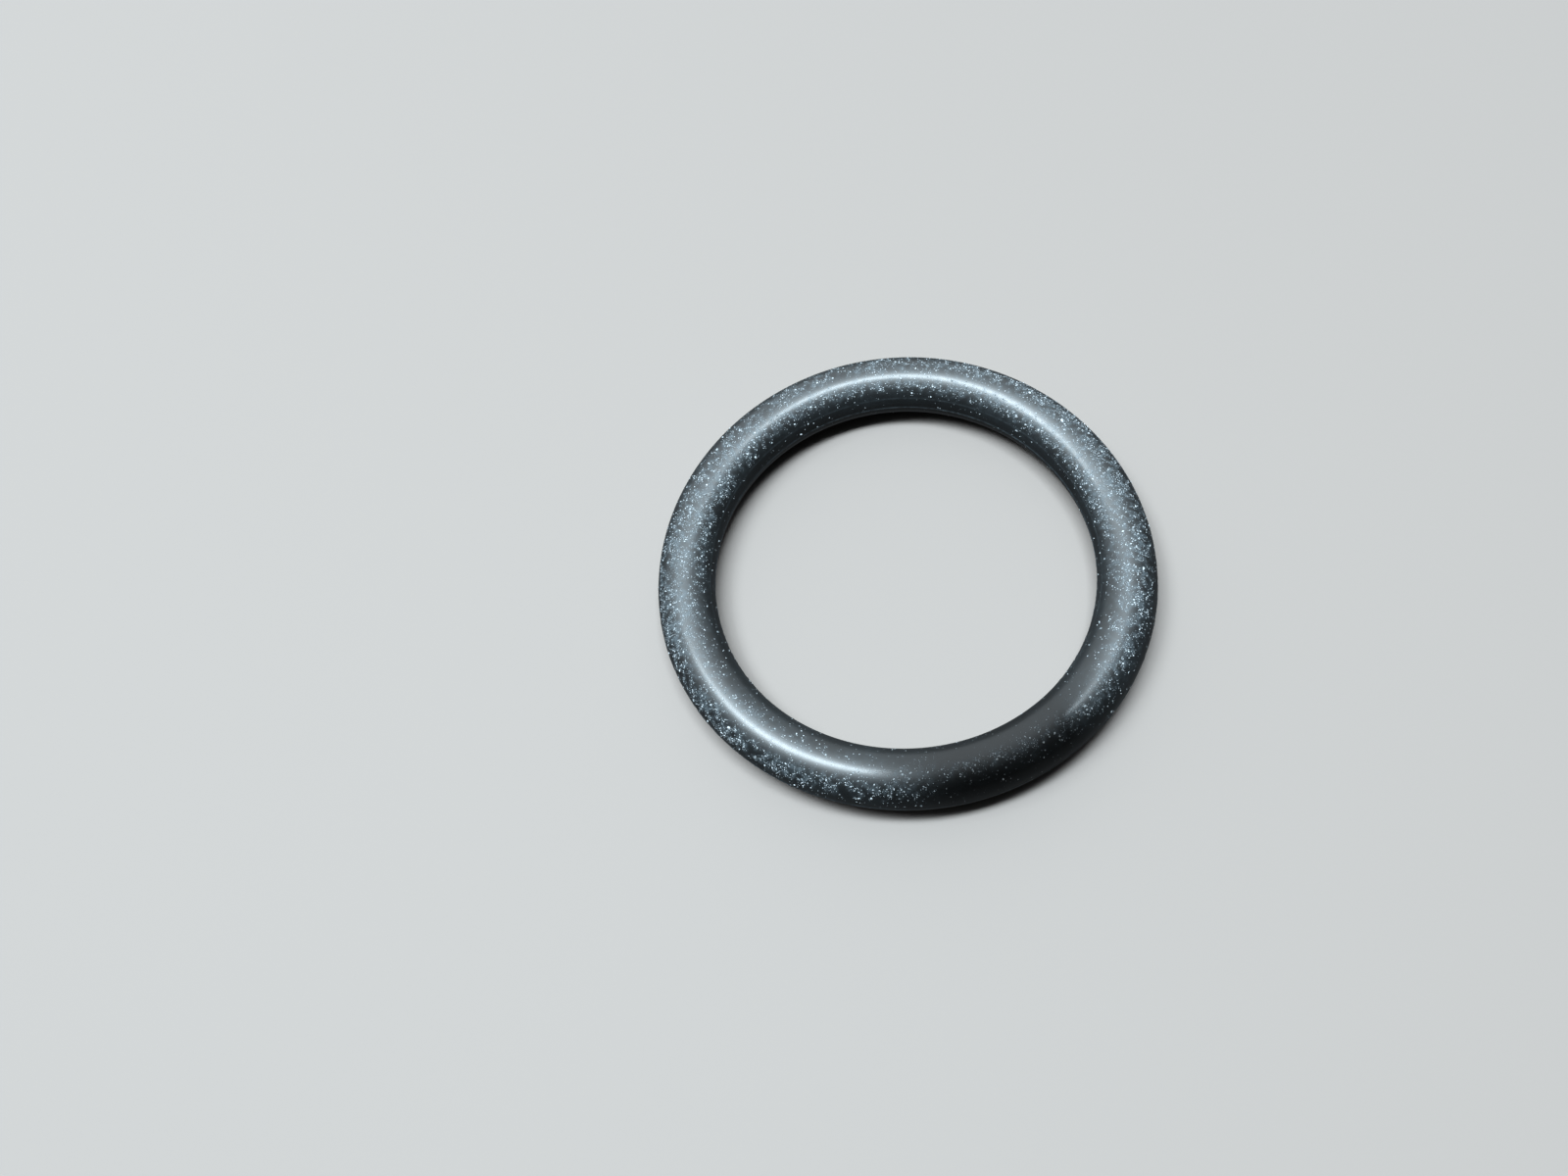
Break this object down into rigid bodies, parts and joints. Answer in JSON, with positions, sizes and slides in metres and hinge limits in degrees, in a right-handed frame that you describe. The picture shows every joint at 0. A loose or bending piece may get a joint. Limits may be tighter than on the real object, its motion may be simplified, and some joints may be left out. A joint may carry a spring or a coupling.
{
  "type": "rubber o-ring",
  "caption": "Black rubber o-ring with a plain round section and a fine mould line round its inner and outer edges, for sealing a shaft, spigot or flange.",
  "frame": {"origin": "centre of the ring, on the flat surface that it lies on", "axes": "+Z along the ring's axis, upwards; +X and +Y in the plane of the ring, which looks the same every way round"},
  "size_m": [0.0306, 0.0306, 0.0035],
  "materials": {
    "rubber": "smooth moulded black rubber with a soft sheen and a light dusting of white powder"
  },
  "bodies": {
    "root": {"o_ring": "rubber"}
  },
  "joints": []
}
